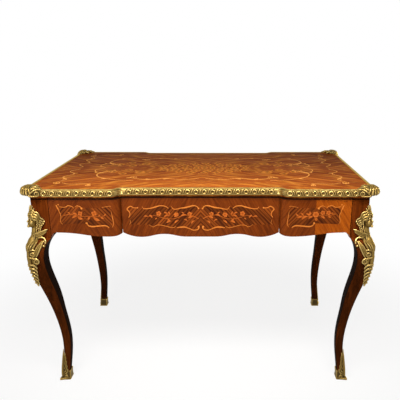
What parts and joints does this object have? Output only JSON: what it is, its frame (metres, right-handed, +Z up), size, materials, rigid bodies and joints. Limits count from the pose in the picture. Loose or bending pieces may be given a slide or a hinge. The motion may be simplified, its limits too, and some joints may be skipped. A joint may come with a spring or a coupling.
{
  "type": "bureau plat",
  "caption": "Flat-topped writing desk with frieze drawers, cabriole legs, marquetry veneers and gilt bronze edge, corner, knee and foot mounts.",
  "frame": {"origin": "on the floor under the middle of the table", "axes": "+Z up, +X along the length of the table, drawers open towards -Y"},
  "size_m": [1.2442, 0.8062, 0.789],
  "materials": {
    "top_marquetry": "French polished kingwood veneer with pale inlay",
    "frieze_marquetry": "French polished veneer with scroll inlay",
    "leg_veneer": "French polished dark veneer",
    "drawer_lining": "bare oak",
    "carcass_wood": "bare oak, aged",
    "gilt_bronze": "gilded cast bronze with dark recesses",
    "screw_steel": "plain steel"
  },
  "bodies": {
    "carcass": {"back_rail": "carcass_wood", "bust_mount_back_left": "gilt_bronze", "bust_mount_back_right": "gilt_bronze", "bust_mount_front_left": "gilt_bronze", "bust_mount_front_right": "gilt_bronze", "clasp_back_left": "gilt_bronze", "clasp_back_right": "gilt_bronze", "clasp_front_left": "gilt_bronze", "clasp_front_right": "gilt_bronze", "divider_left": "carcass_wood", "divider_right": "carcass_wood", "false_front_centre": "frieze_marquetry", "false_front_left": "frieze_marquetry", "false_front_right": "frieze_marquetry", "front_lower_rail": "carcass_wood", "front_top_rail": "carcass_wood", "kicker_centre": "carcass_wood", "kicker_left": "carcass_wood", "kicker_right": "carcass_wood", "leg_back_left": "leg_veneer", "leg_back_right": "leg_veneer", "leg_front_left": "leg_veneer", "leg_front_right": "leg_veneer", "moulding_back_centre": "gilt_bronze", "moulding_back_left": "gilt_bronze", "moulding_back_right": "gilt_bronze", "moulding_front_centre": "gilt_bronze", "moulding_front_left": "gilt_bronze", "moulding_front_right": "gilt_bronze", "moulding_left": "gilt_bronze", "moulding_right": "gilt_bronze", "runner_centre_left": "carcass_wood", "runner_centre_right": "carcass_wood", "runner_inner_left": "carcass_wood", "runner_inner_right": "carcass_wood", "runner_outer_left": "carcass_wood", "runner_outer_right": "carcass_wood", "sabot_back_left": "gilt_bronze", "sabot_back_right": "gilt_bronze", "sabot_front_left": "gilt_bronze", "sabot_front_right": "gilt_bronze", "side_apron_left": "frieze_marquetry", "side_apron_right": "frieze_marquetry", "top_panel": "top_marquetry", "top_screws": "screw_steel"},
    "drawer_left": {"drawer_left_back": "drawer_lining", "drawer_left_bottom": "drawer_lining", "drawer_left_front": "frieze_marquetry", "drawer_left_left_side": "drawer_lining", "drawer_left_right_side": "drawer_lining"},
    "drawer_centre": {"drawer_centre_back": "drawer_lining", "drawer_centre_bottom": "drawer_lining", "drawer_centre_front": "frieze_marquetry", "drawer_centre_left_side": "drawer_lining", "drawer_centre_right_side": "drawer_lining"},
    "drawer_right": {"drawer_right_back": "drawer_lining", "drawer_right_bottom": "drawer_lining", "drawer_right_front": "frieze_marquetry", "drawer_right_left_side": "drawer_lining", "drawer_right_right_side": "drawer_lining"}
  },
  "joints": [
    {"name": "drawer_left_slide", "type": "slide", "parent": "carcass", "child": "drawer_left", "axis": [0, -1, 0], "range_m": [0, 0.4]},
    {"name": "drawer_centre_slide", "type": "slide", "parent": "carcass", "child": "drawer_centre", "axis": [0, -1, 0], "range_m": [0, 0.4]},
    {"name": "drawer_right_slide", "type": "slide", "parent": "carcass", "child": "drawer_right", "axis": [0, -1, 0], "range_m": [0, 0.4]}
  ]
}
